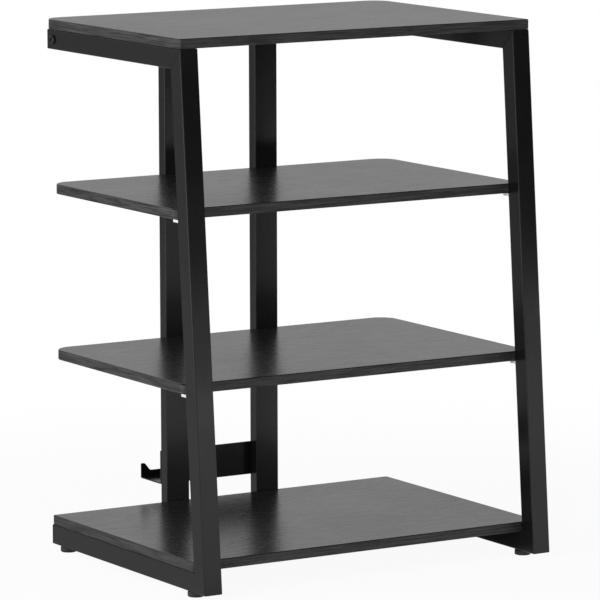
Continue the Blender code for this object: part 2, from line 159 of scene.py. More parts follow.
class TraySettings(bpy.types.PropertyGroup):
    """Shape of the cable tray"""

    sheet: length("Sheet", 0.002, "Thickness of the tray's sheet")
    bend: length("Bend", 0.0025, "Outer radius of the tray's bends")
    edge: length("Edge", 0.0003, "Break of the sheet's cut edges")
    lip: length("Lip", 0.0115, "Height of the rear lip")
    horn: length("Horn", 0.0235, "Height of the lip's raised ends")
    horn_flat: length("Horn flat", 0.0045, "Level run at the top of a raised end")
    horn_slope: length("Horn slope", 0.0135, "Run of the curve from a raised end to the lip")
    horn_tip: length("Horn tip", 0.0022, "Radius of a raised end's outer corner")
    slot_length: length("Slot length", 0.036, "Length of the slots for cable ties")
    slot_width: length("Slot width", 0.007, "Width of the slots for cable ties")
    slot_corner: length("Slot corner", 0.003, "Corner radius of the slots")
    slot_spacing: length("Slot spacing", 0.046, "Distance from slot to slot")
    slot_setback: length("Slot setback", 0.040, "Distance of the slots from the tray's back")
    slot_count: IntProperty(name="Slots", description="Number of slots in the floor", default=4, min=1)


class HardwareSettings(bpy.types.PropertyGroup):
    """Shape and finish of brackets, bolts, screws, inserts and feet"""

    bracket_sheet: length("Bracket sheet", 0.004, "Thickness of the shelf brackets")
    bracket_leaf: length("Bracket leaf", 0.0175, "Run of a bracket under its shelf")
    bracket_notch: length("Bracket notch", 0.0016, "Setback of a bracket's upright on each side")
    bracket_heel: length("Bracket heel", 0.0032, "Rounding of a bracket's fold")
    leaf_corner: length("Leaf corner", 0.003, "Radius of the corners of a bracket's leaf")
    upright_corner: length("Upright corner", 0.002, "Radius of the corners of a bracket's upright")
    bracket_edge: length("Bracket edge", 0.0002, "Break of a bracket's cut edges")
    leg_screw_drop: length("Leg screw drop", 0.0055, "Distance of a leg screw below its bracket's top")
    pad_radius: length("Pad radius", 0.0125, "Radius of the levelling feet")
    pad_edge: length("Pad edge", 0.002, "Rounding of the feet's rims")
    pad_hollow: length("Pad hollow", 0.0006, "Depth of the hollow under the feet")
    stem_radius: length("Stem radius", 0.004, "Radius of the feet's threaded stems")
    insert_wall: length("Insert wall", 0.0015, "Wall of the threaded inserts")
    insert_edge: length("Insert edge", 0.0002, "Break of the inserts' edges")
    steps: IntProperty(name="Steps", description="Sides of a turned piece", default=48, min=12)
    steel_color: colour("Black steel", (0.03, 0.03, 0.031), "Colour of bolts and screws")
    zinc_color: colour("Zinc", (0.72, 0.73, 0.74), "Colour of brackets and inserts")
    foot_color: colour("Foot plastic", (0.018, 0.018, 0.018), "Colour of the levelling feet")


class StageSettings(bpy.types.PropertyGroup):
    """Floor, light and camera"""

    floor_size: length("Floor", 12.0, "Side of the square floor")
    floor_color: colour("Floor colour", (0.8, 0.8, 0.8), "Colour of the floor")
    shadow: factor("Shadow", 0.06, "Share of the floor's own shading that shows near the stand")
    sky: factor("Sky", 0.4, "Level of the light from all round")
    horizon: factor("Horizon", 0.73, "Level of the backdrops behind stand and camera, in reflections")
    left_wall: factor("Left wall", 0.3, "Level of the wall on the left, in reflections")
    ring: factor("Ring", 0.5, "Level of the room's lit upper part, in reflections")
    dim: factor("Dim room", 0.06, "Level of the rest of the room, in reflections")
    front_floor: factor("Front floor", 0.74, "Level of the floor in front, in reflections")
    side_floor: factor("Side floor", 0.395, "Level of the floor beside and behind, in reflections")
    left_floor: factor("Left floor", 0.2, "Extra level of the floor left in front, in reflections")
    key_power: power("Key light", 78, "Power of the soft box on the left")
    card_power: power("Bounce card", 26.5, "Power of the card that faces the floor in front")
    side_power: power("Side card", 12, "Power of the upright card on the left")
    lens: FloatProperty(
        name="Lens", description="Focal length on a 36 mm sensor", default=279.78, min=1, unit="CAMERA"
    )


class StandSettings(bpy.types.PropertyGroup):
    """Everything that a user would change about the stand"""

    boards: PointerProperty(type=BoardSettings, name="Boards", description="Boards")
    frame: PointerProperty(type=FrameSettings, name="Frame", description="Tubes and caps")
    tray: PointerProperty(type=TraySettings, name="Tray", description="Cable tray")
    hardware: PointerProperty(type=HardwareSettings, name="Hardware", description="Small metal pieces")
    stage: PointerProperty(type=StageSettings, name="Stage", description="Floor, light and camera")


def settings():
    return bpy.context.scene.av_stand


# Shaping with edit-mode tools
def leave_all():
    """Leave edit mode with nothing selected."""
    if bpy.context.object is not None and bpy.context.object.mode != "OBJECT":
        bpy.ops.object.mode_set(mode="OBJECT")
    bpy.ops.object.select_all(action="DESELECT")


def take(piece):
    """Make a piece the only selected one, in object mode."""
    leave_all()
    piece.select_set(True)
    bpy.context.view_layer.objects.active = piece


def settle(name):
    """Name the active piece and put its place into its mesh."""
    piece = bpy.context.object
    piece.name = name
    piece.data.name = name
    bpy.ops.object.transform_apply(location=True, rotation=True, scale=True)
    return piece


def start_box(name, low, high, turn=0.0):
    """Box between two corners, turned about X around its middle."""
    leave_all()
    low, high = Vector(low), Vector(high)
    bpy.ops.mesh.primitive_cube_add(
        size=1, location=(low + high) / 2, rotation=(turn, 0, 0), scale=high - low
    )
    return settle(name)


def pick(piece, kind, wanted):
    """Enter edit mode with just the vertices, edges or faces that pass a test selected."""
    take(piece)
    bpy.ops.object.mode_set(mode="EDIT")
    bpy.ops.mesh.select_mode(type=kind)
    bpy.ops.mesh.select_all(action="DESELECT")
    shape = bmesh.from_edit_mesh(piece.data)
    shape.normal_update()
    items = {"VERT": shape.verts, "EDGE": shape.edges, "FACE": shape.faces}[kind]
    for item in items:
        if wanted(item):
            item.select_set(True)
    shape.select_flush_mode()
    bmesh.update_edit_mesh(piece.data)


def everything(_item):
    return True


def runs_along(edge, axis):
    start, end = (vertex.co for vertex in edge.verts)
    return abs((end - start).normalized().dot(axis)) > PARALLEL


def lies_at(item, axis, value):
    """Whether every vertex of an edge or face, or a vertex itself, is at a distance along an axis."""
    vertices = [item] if isinstance(item, bmesh.types.BMVert) else item.verts
    return all(abs(vertex.co.dot(axis) - value) < NEAR for vertex in vertices)


def round_off(piece, wanted, radius, steps):
    """Round the edges that pass a test."""
    pick(piece, "EDGE", wanted)
    bpy.ops.mesh.bevel(offset=radius, segments=steps, profile=0.5, affect="EDGES", clamp_overlap=True)


def extrude(*offset):
    """Extrude what is selected."""
    bpy.ops.mesh.extrude_region_move(TRANSFORM_OT_translate={"value": offset})


def apply_modifier(piece, kind, **values):
    """Put a modifier on a piece and apply it."""
    take(piece)
    modifier = piece.modifiers.new(kind.lower(), kind)
    for name, value in values.items():
        setattr(modifier, name, value)
    bpy.ops.object.modifier_apply(modifier=modifier.name)


def thicken(piece, thickness):
    """Give an open sheet its wall, behind its faces."""
    apply_modifier(piece, "SOLIDIFY", thickness=thickness, offset=-1, use_even_offset=True)


def ease_edges(piece, width, angle):
    """Break every edge that is sharper than an angle."""
    apply_modifier(
        piece, "BEVEL", width=width, segments=2, limit_method="ANGLE", angle_limit=math.radians(angle)
    )


def cut_out(piece, cutter):
    """Cut a cutter out of a piece and delete the cutter."""
    apply_modifier(piece, "BOOLEAN", operation="DIFFERENCE", solver="EXACT", object=cutter)
    bpy.data.objects.remove(cutter)


def turned(name, profile, steps, closed=False):
    """Piece turned about Z: a ring at the first (radius, z), extruded through the rest of a profile."""
    leave_all()
    radius, z = profile[0]
    bpy.ops.mesh.primitive_circle_add(vertices=steps, radius=radius, location=(0, 0, z))
    piece = settle(name)
    pick(piece, "EDGE", everything)
    for next_radius, next_z in profile[1:]:
        extrude(0, 0, next_z - z)
        scale = next_radius / radius
        bpy.ops.transform.resize(value=(scale, scale, 1), center_override=(0, 0, next_z))
        radius, z = next_radius, next_z
    if closed:
        pick(piece, "EDGE", lambda edge: edge.is_boundary)
        bpy.ops.mesh.bridge_edge_loops()
    else:
        bpy.ops.mesh.edge_face_add()
        pick(piece, "EDGE", lambda edge: edge.is_boundary)
        bpy.ops.mesh.edge_face_add()
    bpy.ops.mesh.select_all(action="SELECT")
    bpy.ops.mesh.normals_make_consistent(inside=False)
    return piece


def quarter(centre, radius, start, end, steps=4):
    """Points (radius, z) on an arc about a centre, from one angle to another in degrees."""
    points = []
    for step in range(steps + 1):
        angle = math.radians(start + (end - start) * step / steps)
        points.append((centre[0] + radius * math.cos(angle), centre[1] + radius * math.sin(angle)))
    return points


def finish_piece(piece, finishes, node, body="stand", smooth=35):
    """Shade a piece, give it its finishes and hang it on the frame in place of its CAD node."""
    take(piece)
    piece.data.materials.clear()
    for finish in finishes:
        piece.data.materials.append(finish)
    bpy.ops.object.shade_smooth_by_angle(angle=math.radians(smooth))
    apply_modifier(piece, "WEIGHTED_NORMAL", weight=80, keep_sharp=True)
    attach(piece, body)
    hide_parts(node)


def place_copy(master, name, matrix):
    """Copy of a piece with a mesh of its own, put in its place."""
    copy = master.copy()
    copy.data = master.data.copy()
    bpy.context.scene.collection.objects.link(copy)
    copy.matrix_world = matrix
    take(copy)
    return settle(name)


# Finishes: shader groups that several materials share, then the materials
# Places of the Mix node's colour sockets, which come after those for numbers and vectors
MIX_FIRST_COLOR = 6
MIX_COLOR_RESULT = 2
# Change of roughness where a surface has been wiped
SMEAR = 0.03


def feed(tree, socket, value):
    """Link a socket to another node's output, or set it to a constant."""
    if isinstance(value, bpy.types.NodeSocket):
        tree.links.new(value, socket)
    else:
        socket.default_value = value


def add_node(tree, kind, options=None, **sockets):
    """Shader node with its options, and with socket values given by name (spaces as underscores)."""
    node = tree.nodes.new("ShaderNode" + kind)
    for name, value in (options or {}).items():
        setattr(node, name, value)
    for name, value in sockets.items():
        feed(tree, node.inputs[name.replace("_", " ")], value)
    return node


def math_node(tree, operation, *values):
    node = add_node(tree, "Math", {"operation": operation})
    for socket, value in zip(node.inputs, values):
        feed(tree, socket, value)
    return node.outputs[0]


def vector_node(tree, operation, first, second=None):
    """Outcome of a vector operation: a number for a length or a dot product, else a vector."""
    node = add_node(tree, "VectorMath", {"operation": operation}, Vector=first)
    if second is not None:
        feed(tree, node.inputs["Scale" if operation == "SCALE" else 1], second)
    return node.outputs["Value" if operation in ("LENGTH", "DOT_PRODUCT") else "Vector"]


def ramp(tree, value, start, end, low, high, kind="LINEAR"):
    """Value that runs from low to high while another runs from start to end."""
    node = add_node(
        tree, "MapRange", {"interpolation_type": kind},
        Value=value, From_Min=start, From_Max=end, To_Min=low, To_Max=high,
    )
    return node.outputs[0]


def soft_ramp(*values):
    """Ramp that eases in and out."""
    return ramp(*values, kind="SMOOTHSTEP")


def between(tree, share, low, high):
    """Value that runs from low to high with a share from 0 to 1."""
    return ramp(tree, share, 0.0, 1.0, low, high)


def new_group(name, inputs, outputs):
    """Shader group with named sockets; returns it with the values it is given and the sockets it fills."""
    group = bpy.data.node_groups.new(name, "ShaderNodeTree")
    for label, kind in inputs.items():
        group.interface.new_socket(label, in_out="INPUT", socket_type="NodeSocket" + kind)
    for label in outputs:
        group.interface.new_socket(label, in_out="OUTPUT", socket_type="NodeSocketFloat")
    given = group.nodes.new("NodeGroupInput").outputs
    result = group.nodes.new("NodeGroupOutput").inputs
    return group, given, result


def wood_grain_group():
    """Long wavy streaks with short pores, stretched by its own scale."""
    name = "Wood grain"
    if name in bpy.data.node_groups:
        return bpy.data.node_groups[name]
    group, given, result = new_group(
        name, {"Vector": "Vector", "Stretch": "Vector", "Waviness": "Float"}, ("Tone", "Height")
    )
    sway = add_node(group, "TexNoise", Vector=given["Vector"], Scale=7.0, Detail=2.0)
    swing = vector_node(group, "SUBTRACT", sway.outputs["Color"], (0.5, 0.5, 0.5))
    swing = vector_node(group, "SCALE", swing, given["Waviness"])
    bent = vector_node(group, "ADD", given["Vector"], swing)
    drawn = vector_node(group, "MULTIPLY", bent, given["Stretch"])
    streaks = add_node(group, "TexNoise", Vector=drawn, Scale=1.0, Detail=4.0, Roughness=0.6)
    tone = ramp(group, streaks.outputs[0], 0.3, 0.7, 0.0, 1.0)
    fine = vector_node(group, "MULTIPLY", drawn, (2.0, 2.6, 2.6))
    specks = add_node(group, "TexNoise", Vector=fine, Scale=1.0, Detail=1.0)
    pores = ramp(group, specks.outputs[0], 0.56, 0.66, 0.0, 1.0)
    for output, depth in (("Height", 0.6), ("Tone", 0.45)):
        sunk = math_node(group, "MULTIPLY", pores, depth)
        feed(group, result[output], math_node(group, "SUBTRACT", tone, sunk))
    return group


def fine_texture_group():
    """Orange peel with a finer grit on top, as on sprayed powder or a moulded surface."""
    name = "Fine texture"
    if name in bpy.data.node_groups:
        return bpy.data.node_groups[name]
    group, given, result = new_group(
        name, {"Vector": "Vector", "Peel scale": "Float", "Grit scale": "Float", "Grit": "Float"},
        ("Height", "Tone"),
    )
    peel = add_node(group, "TexNoise", Vector=given["Vector"], Scale=given["Peel scale"], Detail=1.0)
    grit = add_node(group, "TexNoise", Vector=given["Vector"], Scale=given["Grit scale"], Detail=0.0)
    share = math_node(group, "MULTIPLY", grit.outputs[0], given["Grit"])
    feed(group, result["Height"], math_node(group, "ADD", peel.outputs[0], share))
    feed(group, result["Tone"], grit.outputs[0])
    return group


def handling_group():
    """Broad, soft patches where a surface has been wiped or handled."""
    name = "Handling"
    if name in bpy.data.node_groups:
        return bpy.data.node_groups[name]
    group, given, result = new_group(name, {"Vector": "Vector", "Scale": "Float"}, ("Mask",))
    broad = add_node(group, "TexNoise", Vector=given["Vector"], Scale=given["Scale"], Detail=3.0)
    feed(group, result["Mask"], ramp(group, broad.outputs[0], 0.35, 0.68, 0.0, 1.0))
    return group


def use_group(tree, group, **sockets):
    return add_node(tree, "Group", {"node_tree": group}, **sockets)


def new_finish(name):
    """Empty material; returns it with its tree, its Principled shader and Object coordinates."""
    finish = bpy.data.materials.new(name)
    finish.use_nodes = True
    tree = finish.node_tree
    coords = tree.nodes.new("ShaderNodeTexCoord").outputs["Object"]
    return finish, tree, tree.nodes["Principled BSDF"], coords


def tint(tree, share, color, low, high):
    """Colour that runs from low to high times a base colour with a share from 0 to 1."""
    node = add_node(tree, "Mix", {"data_type": "RGBA"}, Factor=share)
    for socket, scale in zip(node.inputs[MIX_FIRST_COLOR:], (low, high)):
        socket.default_value = (*(scale * value for value in color), 1)
    return node.outputs[MIX_COLOR_RESULT]


def raise_surface(tree, shader, height, distance):
    bump = add_node(tree, "Bump", Strength=1.0, Distance=distance, Height=height)
    tree.links.new(bump.outputs[0], shader.inputs["Normal"])


def grained(name, color, contrast, stretch, waviness, rough_low, rough_high, depth):
    """Black grained surface: streaks, pores and wiped patches in colour, gloss and relief."""
    if name in bpy.data.materials:
        return bpy.data.materials[name]
    finish, tree, shader, coords = new_finish(name)
    grain = use_group(tree, wood_grain_group(), Vector=coords, Stretch=stretch, Waviness=waviness)
    wiped = use_group(tree, handling_group(), Vector=coords, Scale=5.0)
    shade = tint(tree, grain.outputs["Tone"], color, 1 - contrast, 1 + contrast)
    tree.links.new(shade, shader.inputs["Base Color"])
    gloss = between(tree, grain.outputs["Tone"], rough_high, rough_low)
    smear = math_node(tree, "MULTIPLY", wiped.outputs["Mask"], SMEAR)
    tree.links.new(math_node(tree, "ADD", gloss, smear), shader.inputs["Roughness"])
    raise_surface(tree, shader, grain.outputs["Height"], depth)
    return finish


def laminate():
    return grained(
        "Black grained laminate", settings().boards.laminate_color, contrast=0.35, stretch=(24, 330, 330),
        waviness=0.004, rough_low=0.2, rough_high=0.28, depth=0.00004,
    )


def edge_band():
    return grained(
        "Black edge band", settings().boards.band_color, contrast=0.9, stretch=(14, 14, 520),
        waviness=0.002, rough_low=0.42, rough_high=0.5, depth=0.00005,
    )


def textured(name, color, peel, grit, roughness, depth, ior, metallic=0.0):
    """Sprayed, moulded or plated surface: orange peel and grit, with wiped patches in its gloss."""
    if name in bpy.data.materials:
        return bpy.data.materials[name]
    finish, tree, shader, coords = new_finish(name)
    texture = use_group(
        tree, fine_texture_group(), Vector=coords, Peel_scale=peel, Grit_scale=grit, Grit=0.4
    )
    wiped = use_group(tree, handling_group(), Vector=coords, Scale=9.0)
    shade = tint(tree, texture.outputs["Tone"], color, 0.75, 1.25)
    tree.links.new(shade, shader.inputs["Base Color"])
    gloss = between(tree, wiped.outputs["Mask"], roughness - SMEAR, roughness + SMEAR)
    tree.links.new(gloss, shader.inputs["Roughness"])
    shader.inputs["IOR"].default_value = ior
    shader.inputs["Metallic"].default_value = metallic
    raise_surface(tree, shader, texture.outputs["Height"], depth)
    return finish


def powder_coat():
    return textured(
        "Black powder coat", settings().frame.coat_color,
        peel=520.0, grit=2600.0, roughness=0.21, depth=0.00001, ior=1.5,
    )


def plastic():
    return textured(
        "Black plastic", settings().hardware.foot_color,
        peel=900.0, grit=3200.0, roughness=0.32, depth=0.00002, ior=1.5,
    )


def dull_plastic():
    return textured(
        "Dull black plastic", settings().frame.cap_color,
        peel=900.0, grit=3200.0, roughness=0.6, depth=0.00004, ior=1.3,
    )


def black_steel():
    return textured(
        "Black steel", settings().hardware.steel_color,
        peel=700.0, grit=4000.0, roughness=0.36, depth=0.00001, ior=1.5, metallic=0.7,
    )


def zinc():
    """Bright zinc with soft crystals in its tone and gloss."""
    name = "Bright zinc"
    if name in bpy.data.materials:
        return bpy.data.materials[name]
    finish, tree, shader, coords = new_finish(name)
    crystals = add_node(tree, "TexVoronoi", Vector=coords, Scale=420.0)
    texture = use_group(
        tree, fine_texture_group(), Vector=coords, Peel_scale=600.0, Grit_scale=3000.0, Grit=0.5
    )
    share = crystals.outputs["Color"]
    shade = tint(tree, share, settings().hardware.zinc_color, 0.9, 1.1)
    tree.links.new(shade, shader.inputs["Base Color"])
    tree.links.new(between(tree, share, 0.26, 0.4), shader.inputs["Roughness"])
    shader.inputs["Metallic"].default_value = 0.3
    raise_surface(tree, shader, texture.outputs["Height"], 0.00002)
    return finish


# Boards: a face whose normal rises less than this belongs to the edge band
BAND_RISE = 0.2


def make_board(node, front_radius, rear_radius):
    """Board with its plan corners rounded, its edge band rounded over and its faces laminated."""
    boards = settings().boards
    low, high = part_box(node)
    piece = start_box(node + "_board", low, high)
    for y, radius, steps in ((low.y, front_radius, 8), (high.y, rear_radius, 16)):
        round_off(piece, lambda edge: runs_along(edge, Z) and lies_at(edge, Y, y), radius, steps)
    for z, radius in ((low.z, boards.lower_radius), (high.z, boards.upper_radius)):
        round_off(piece, lambda edge: lies_at(edge, Z, z), radius, steps=5)
        pick(piece, "FACE", lambda face: lies_at(face, Z, z))
        bpy.ops.mesh.inset(thickness=boards.band - radius)
    finish_piece(piece, (laminate(), edge_band()), node, smooth=40)
    for polygon in piece.data.polygons:
        polygon.material_index = 0 if abs(polygon.normal.z) > BAND_RISE else 1


class AVSTAND_OT_boards(bpy.types.Operator):
    """Build the top panel, the two shelves and the bottom panel"""

    bl_idname = "av_stand.boards"
    bl_label = "Boards"

    def execute(self, context):
        boards = settings().boards
        make_board("top_panel", boards.square_corner, boards.rear_corner)
        make_board("upper_shelf", boards.front_corner, boards.rear_corner)
        make_board("lower_shelf", boards.front_corner, boards.rear_corner)
        make_board("bottom_panel", boards.square_corner, boards.square_corner)
        return {"FINISHED"}


# Tubes
def make_tube(node, middle, size, axis, across, turn=0.0, cuts=(), screws=()):
    """Hollow tube with rounded corners, cut at mitre planes and countersunk below for its screws."""
    tubes = settings().frame
    half = Vector(size) / 2
    piece = start_box(node + "_coated", middle - half, middle + half, turn)
    pick(piece, "FACE", lambda face: abs(face.normal.dot(axis)) > PARALLEL)
    bpy.ops.mesh.delete(type="FACE")
    round_off(piece, lambda edge: runs_along(edge, axis), tubes.corner, steps=5)
    thicken(piece, tubes.wall)
    skin = min(size) / 2 - tubes.corner / 2
    for place, outward in cuts:
        pick(piece, "VERT", everything)
        bpy.ops.mesh.bisect(plane_co=place, plane_no=outward, use_fill=True, clear_outer=True)

        def on_rim(edge):
            for vertex in edge.verts:
                offset = vertex.co - middle
                if abs((vertex.co - place).dot(outward)) > NEAR:
                    return False
                if max(abs(offset.x), abs(offset.dot(across))) < skin:
                    return False
            return True

        round_off(piece, on_rim, tubes.mitre_edge, steps=2)
    kind = FASTENERS["panel_screw"]
    mouth = kind.radius + GAP
    bore = kind.stem + GAP
    sink = [(mouth, -CUTTER_REACH), (mouth, 0), (bore, kind.height), (bore, 2 * kind.height)]
    for screw in screws:
        cutter = turned("countersink", sink, settings().hardware.steps)
        bpy.ops.transform.translate(value=seat_fastener(screw)[0])
        cut_out(piece, cutter)
    finish_piece(piece, (powder_coat(),), node)


def mitre_normal(toe, crook):
    """Unit normal of the plane through a mitre's outer and inner edge, seen from the side."""
    return Vector((0, crook.z - toe.z, toe.y - crook.y)).normalized()


class AVSTAND_OT_side_frames(bpy.types.Operator):
    """Build the mitred top tube, leg and bottom tube of both side frames"""

    bl_idname = "av_stand.side_frames"
    bl_label = "Side frames"

    def execute(self, context):
        high_inner = FRAME_TOP - TUBE
        low_inner = FRAME_LOW + TUBE
        head = Vector((0, HEAD_Y, FRAME_TOP))
        foot = Vector((0, TOE_Y, FRAME_LOW))
        head_normal = mitre_normal(head, Vector((0, leg_rear(high_inner), high_inner)))
        foot_normal = mitre_normal(foot, Vector((0, leg_rear(low_inner), low_inner)))
        gap = Vector((0, GAP, 0))
        leg_length = (head - foot).length + 2 * TUBE
        leg_middle = (head + foot) / 2 + LEG_ACROSS * TUBE / 2
        for side, sign in SIDES.items():
            x = Vector((sign * TUBE_X, 0, 0))
            make_tube(
                side + "_leg", leg_middle + x, (TUBE, TUBE, leg_length), LEG_AXIS, LEG_ACROSS, -LEAN,
                ((head, -head_normal), (foot, foot_normal)),
            )
            for level, toe, normal, z in (
                ("top", head, head_normal, high_inner + TUBE / 2),
                ("bottom", foot, -foot_normal, FRAME_LOW + TUBE / 2),
            ):
                run = REAR_Y - toe.y + TUBE
                middle = Vector((0, REAR_Y - run / 2, z)) + x
                make_tube(
                    f"{side}_{level}_tube", middle, (TUBE, run, TUBE), Y, Z, 0.0, ((toe + gap, normal),),
                    [f"{side}_{level}_panel_screw_{end}" for end in ENDS],
                )
        return {"FINISHED"}


class AVSTAND_OT_posts(bpy.types.Operator):
    """Build the two rear posts and the cross tube that carries them"""

    bl_idname = "av_stand.posts"
    bl_label = "Rear posts"

    def execute(self, context):
        for side in SIDES:
            low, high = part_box(side + "_post")
            make_tube(side + "_post", (low + high) / 2, high - low, Z, Y)
        low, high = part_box("rear_cross_tube")
        tubes = settings().frame
        piece = start_box("rear_cross_tube_coated", low, high)
        round_off(piece, lambda edge: runs_along(edge, X), tubes.corner, steps=5)
        for x in (low.x, high.x):
            round_off(piece, lambda edge: lies_at(edge, X, x), tubes.mitre_edge, steps=2)
        finish_piece(piece, (powder_coat(),), "rear_cross_tube")
        return {"FINISHED"}


class AVSTAND_OT_end_caps(bpy.types.Operator):
    """Build the plastic caps in the tubes' rear ends"""

    bl_idname = "av_stand.end_caps"
    bl_label = "End caps"

    def execute(self, context):
        tubes = settings().frame
        for side in SIDES:
            for level in ("top", "bottom"):
                node = f"{side}_{level}_end_cap"
                low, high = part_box(node)
                seat = high.y - tubes.cap_flange
                piece = start_box(node + "_moulded", (low.x, seat, low.z), high)
                round_off(piece, lambda edge: runs_along(edge, Y), tubes.corner, steps=5)
                round_off(piece, lambda edge: lies_at(edge, Y, high.y), tubes.cap_crown, steps=4)
                pick(piece, "FACE", lambda face: lies_at(face, Y, seat))
                bpy.ops.mesh.inset(thickness=tubes.wall + GAP)
                extrude(0, low.y - seat, 0)
                round_off(piece, lambda edge: lies_at(edge, Y, low.y), tubes.cap_edge, steps=2)
                finish_piece(piece, (dull_plastic(),), node)
        return {"FINISHED"}


# Cable tray: facets of a bend, of the curve down from a raised end and of that end's outer corner
BEND_STEPS = 8
SLOPE_STEPS = 8
TIP_STEPS = 5


def horn_height(from_end):
    """Height of the lip at a distance from the tray's end."""
    tray = settings().tray
    share = min(max((from_end - tray.horn_flat) / tray.horn_slope, 0), 1)
    inside = max(tray.horn_tip - from_end, 0)
    tip = tray.horn_tip - math.sqrt(tray.horn_tip**2 - inside**2)
    return tray.lip + (tray.horn - tray.lip) * (0.5 + 0.5 * math.cos(math.pi * share)) - tip


class AVSTAND_OT_cable_tray(bpy.types.Operator):
    """Fold the cable tray from its sheet, with its raised lip ends and its slots"""

    bl_idname = "av_stand.cable_tray"
    bl_label = "Cable tray"

    def execute(self, context):
        tray = settings().tray
        low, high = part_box("cable_tray")
        bend_z = low.z + tray.bend
        leave_all()
        bpy.ops.mesh.primitive_plane_add(
            size=1, location=((low.x + high.x) / 2, low.y, (bend_z + high.z) / 2),
            rotation=(math.pi / 2, 0, 0),
        )
        bpy.ops.transform.resize(value=(high.x - low.x, 1, high.z - bend_z))
        piece = settle("cable_tray_folded")
        pick(piece, "EDGE", lambda edge: lies_at(edge, Z, bend_z))
        self.bend(low.y + tray.bend, bend_z)
        extrude(0, high.y - low.y - 2 * tray.bend, 0)
        self.bend(high.y - tray.bend, bend_z)
        extrude(0, 0, tray.lip - tray.bend)
        self.raise_horns(piece, low, high)
        pick(piece, "FACE", everything)
        bpy.ops.mesh.remove_doubles(threshold=NEAR)
        bpy.ops.mesh.normals_make_consistent(inside=False)
        pick(piece, "FACE", lambda face: lies_at(face, Z, low.z))
        shape = bmesh.from_edit_mesh(piece.data)
        faces_up = any(face.select and face.normal.z > 0 for face in shape.faces)
        if faces_up:
            bpy.ops.mesh.select_all(action="SELECT")
            bpy.ops.mesh.flip_normals()
        thicken(piece, tray.sheet)
        middle = (low + high) / 2
        for index in range(tray.slot_count):
            x = middle.x + (index - (tray.slot_count - 1) / 2) * tray.slot_spacing
            reach = Vector((tray.slot_length / 2, tray.slot_width / 2, tray.sheet))
            centre = Vector((x, low.y + tray.slot_setback, low.z + tray.sheet / 2))
            cutter = start_box("slot_cutter", centre - reach, centre + reach)
            round_off(cutter, lambda edge: runs_along(edge, Z), tray.slot_corner, steps=6)
            cut_out(piece, cutter)
        ease_edges(piece, tray.edge, angle=60)
        finish_piece(piece, (powder_coat(),), "cable_tray", smooth=30)
        return {"FINISHED"}

    def bend(self, y, z):
        """Carry the sheet's selected edge round a right angle, about a line across the tray."""
        bpy.ops.mesh.spin(steps=BEND_STEPS, angle=-math.pi / 2, center=(0, y, z), axis=(1, 0, 0))

    def raise_horns(self, piece, low, high):
        """Cut the lip at stations along its ends and lift its top edge into the raised ends."""
        tray = settings().tray
        turns = [math.pi / 2 * step / TIP_STEPS for step in range(1, TIP_STEPS + 1)]
        runs = [tray.horn_tip * (1 - math.cos(turn)) for turn in turns]
        runs += [tray.horn_flat + tray.horn_slope * step / SLOPE_STEPS for step in range(SLOPE_STEPS + 1)]
        lip_top = low.z + tray.lip
        for end, sign in ((low.x, 1), (high.x, -1)):
            for run in runs:
                pick(piece, "FACE", lambda face: lies_at(face, Y, high.y))
                bpy.ops.mesh.bisect(plane_co=(end + sign * run, 0, 0), plane_no=(1, 0, 0))
        heights = [(0.0, horn_height(0.0))] + [(run, horn_height(run)) for run in runs]
        for end, sign in ((low.x, 1), (high.x, -1)):
            for run, height in heights:
                x = end + sign * run
                pick(piece, "VERT", lambda vertex: lies_at(vertex, X, x) and lies_at(vertex, Z, lip_top))
                bpy.ops.transform.translate(value=(0, 0, height - tray.lip))


# Brackets
class AVSTAND_OT_brackets(bpy.types.Operator):
    """Fold the zinc angle brackets under the shelves' front corners"""

    bl_idname = "av_stand.brackets"
    bl_label = "Shelf brackets"

    def execute(self, context):
        for node in BRACKETS:
            self.fold(node)
        return {"FINISHED"}

    def fold(self, node):
        """Leaf under the shelf, with a narrower upright that leans along the leg."""
        hardware = settings().hardware
        sheet = hardware.bracket_sheet
        low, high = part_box(node)
        heel = leg_rear(low.z) + GAP
        leaf_top = low.z + sheet
        inner = leg_rear(leaf_top) + GAP + sheet / math.cos(LEAN)
        rise = high.z - leaf_top
        tip = heel + hardware.bracket_leaf
        piece = start_box(node + "_folded", (low.x, heel, low.z), (high.x, tip, leaf_top))
        for place, across in (
            (Vector((0, inner, 0)), Y),
            (Vector((low.x + hardware.bracket_notch, 0, 0)), X),
            (Vector((high.x - hardware.bracket_notch, 0, 0)), X),
        ):
            pick(piece, "VERT", everything)
            bpy.ops.mesh.bisect(plane_co=place, plane_no=across)
        pick(piece, "VERT", lambda vertex: lies_at(vertex, Y, heel) and lies_at(vertex, Z, leaf_top))
        bpy.ops.transform.translate(value=(0, sheet * math.tan(LEAN), 0))
        reach = (high.x - low.x) / 2 - hardware.bracket_notch
        middle = (low.x + high.x) / 2

        def carries_upright(face):
            centre = face.calc_center_median()
            return lies_at(face, Z, leaf_top) and centre.y < inner and abs(centre.x - middle) < reach

        pick(piece, "FACE", carries_upright)
        extrude(0, rise * math.tan(LEAN), rise)

        def on_heel(edge):
            return runs_along(edge, X) and lies_at(edge, Z, low.z) and lies_at(edge, Y, heel)

        def on_leaf_corner(edge):
            return runs_along(edge, Z) and lies_at(edge, Y, tip)

        def on_upright_corner(edge):
            return lies_at(edge, Z, high.z) and not runs_along(edge, X)

        round_off(piece, on_heel, hardware.bracket_heel, steps=5)
        round_off(piece, on_leaf_corner, hardware.leaf_corner, steps=5)
        round_off(piece, on_upright_corner, hardware.upright_corner, steps=4)
        ease_edges(piece, hardware.bracket_edge, angle=55)
        finish_piece(piece, (zinc(),), node)


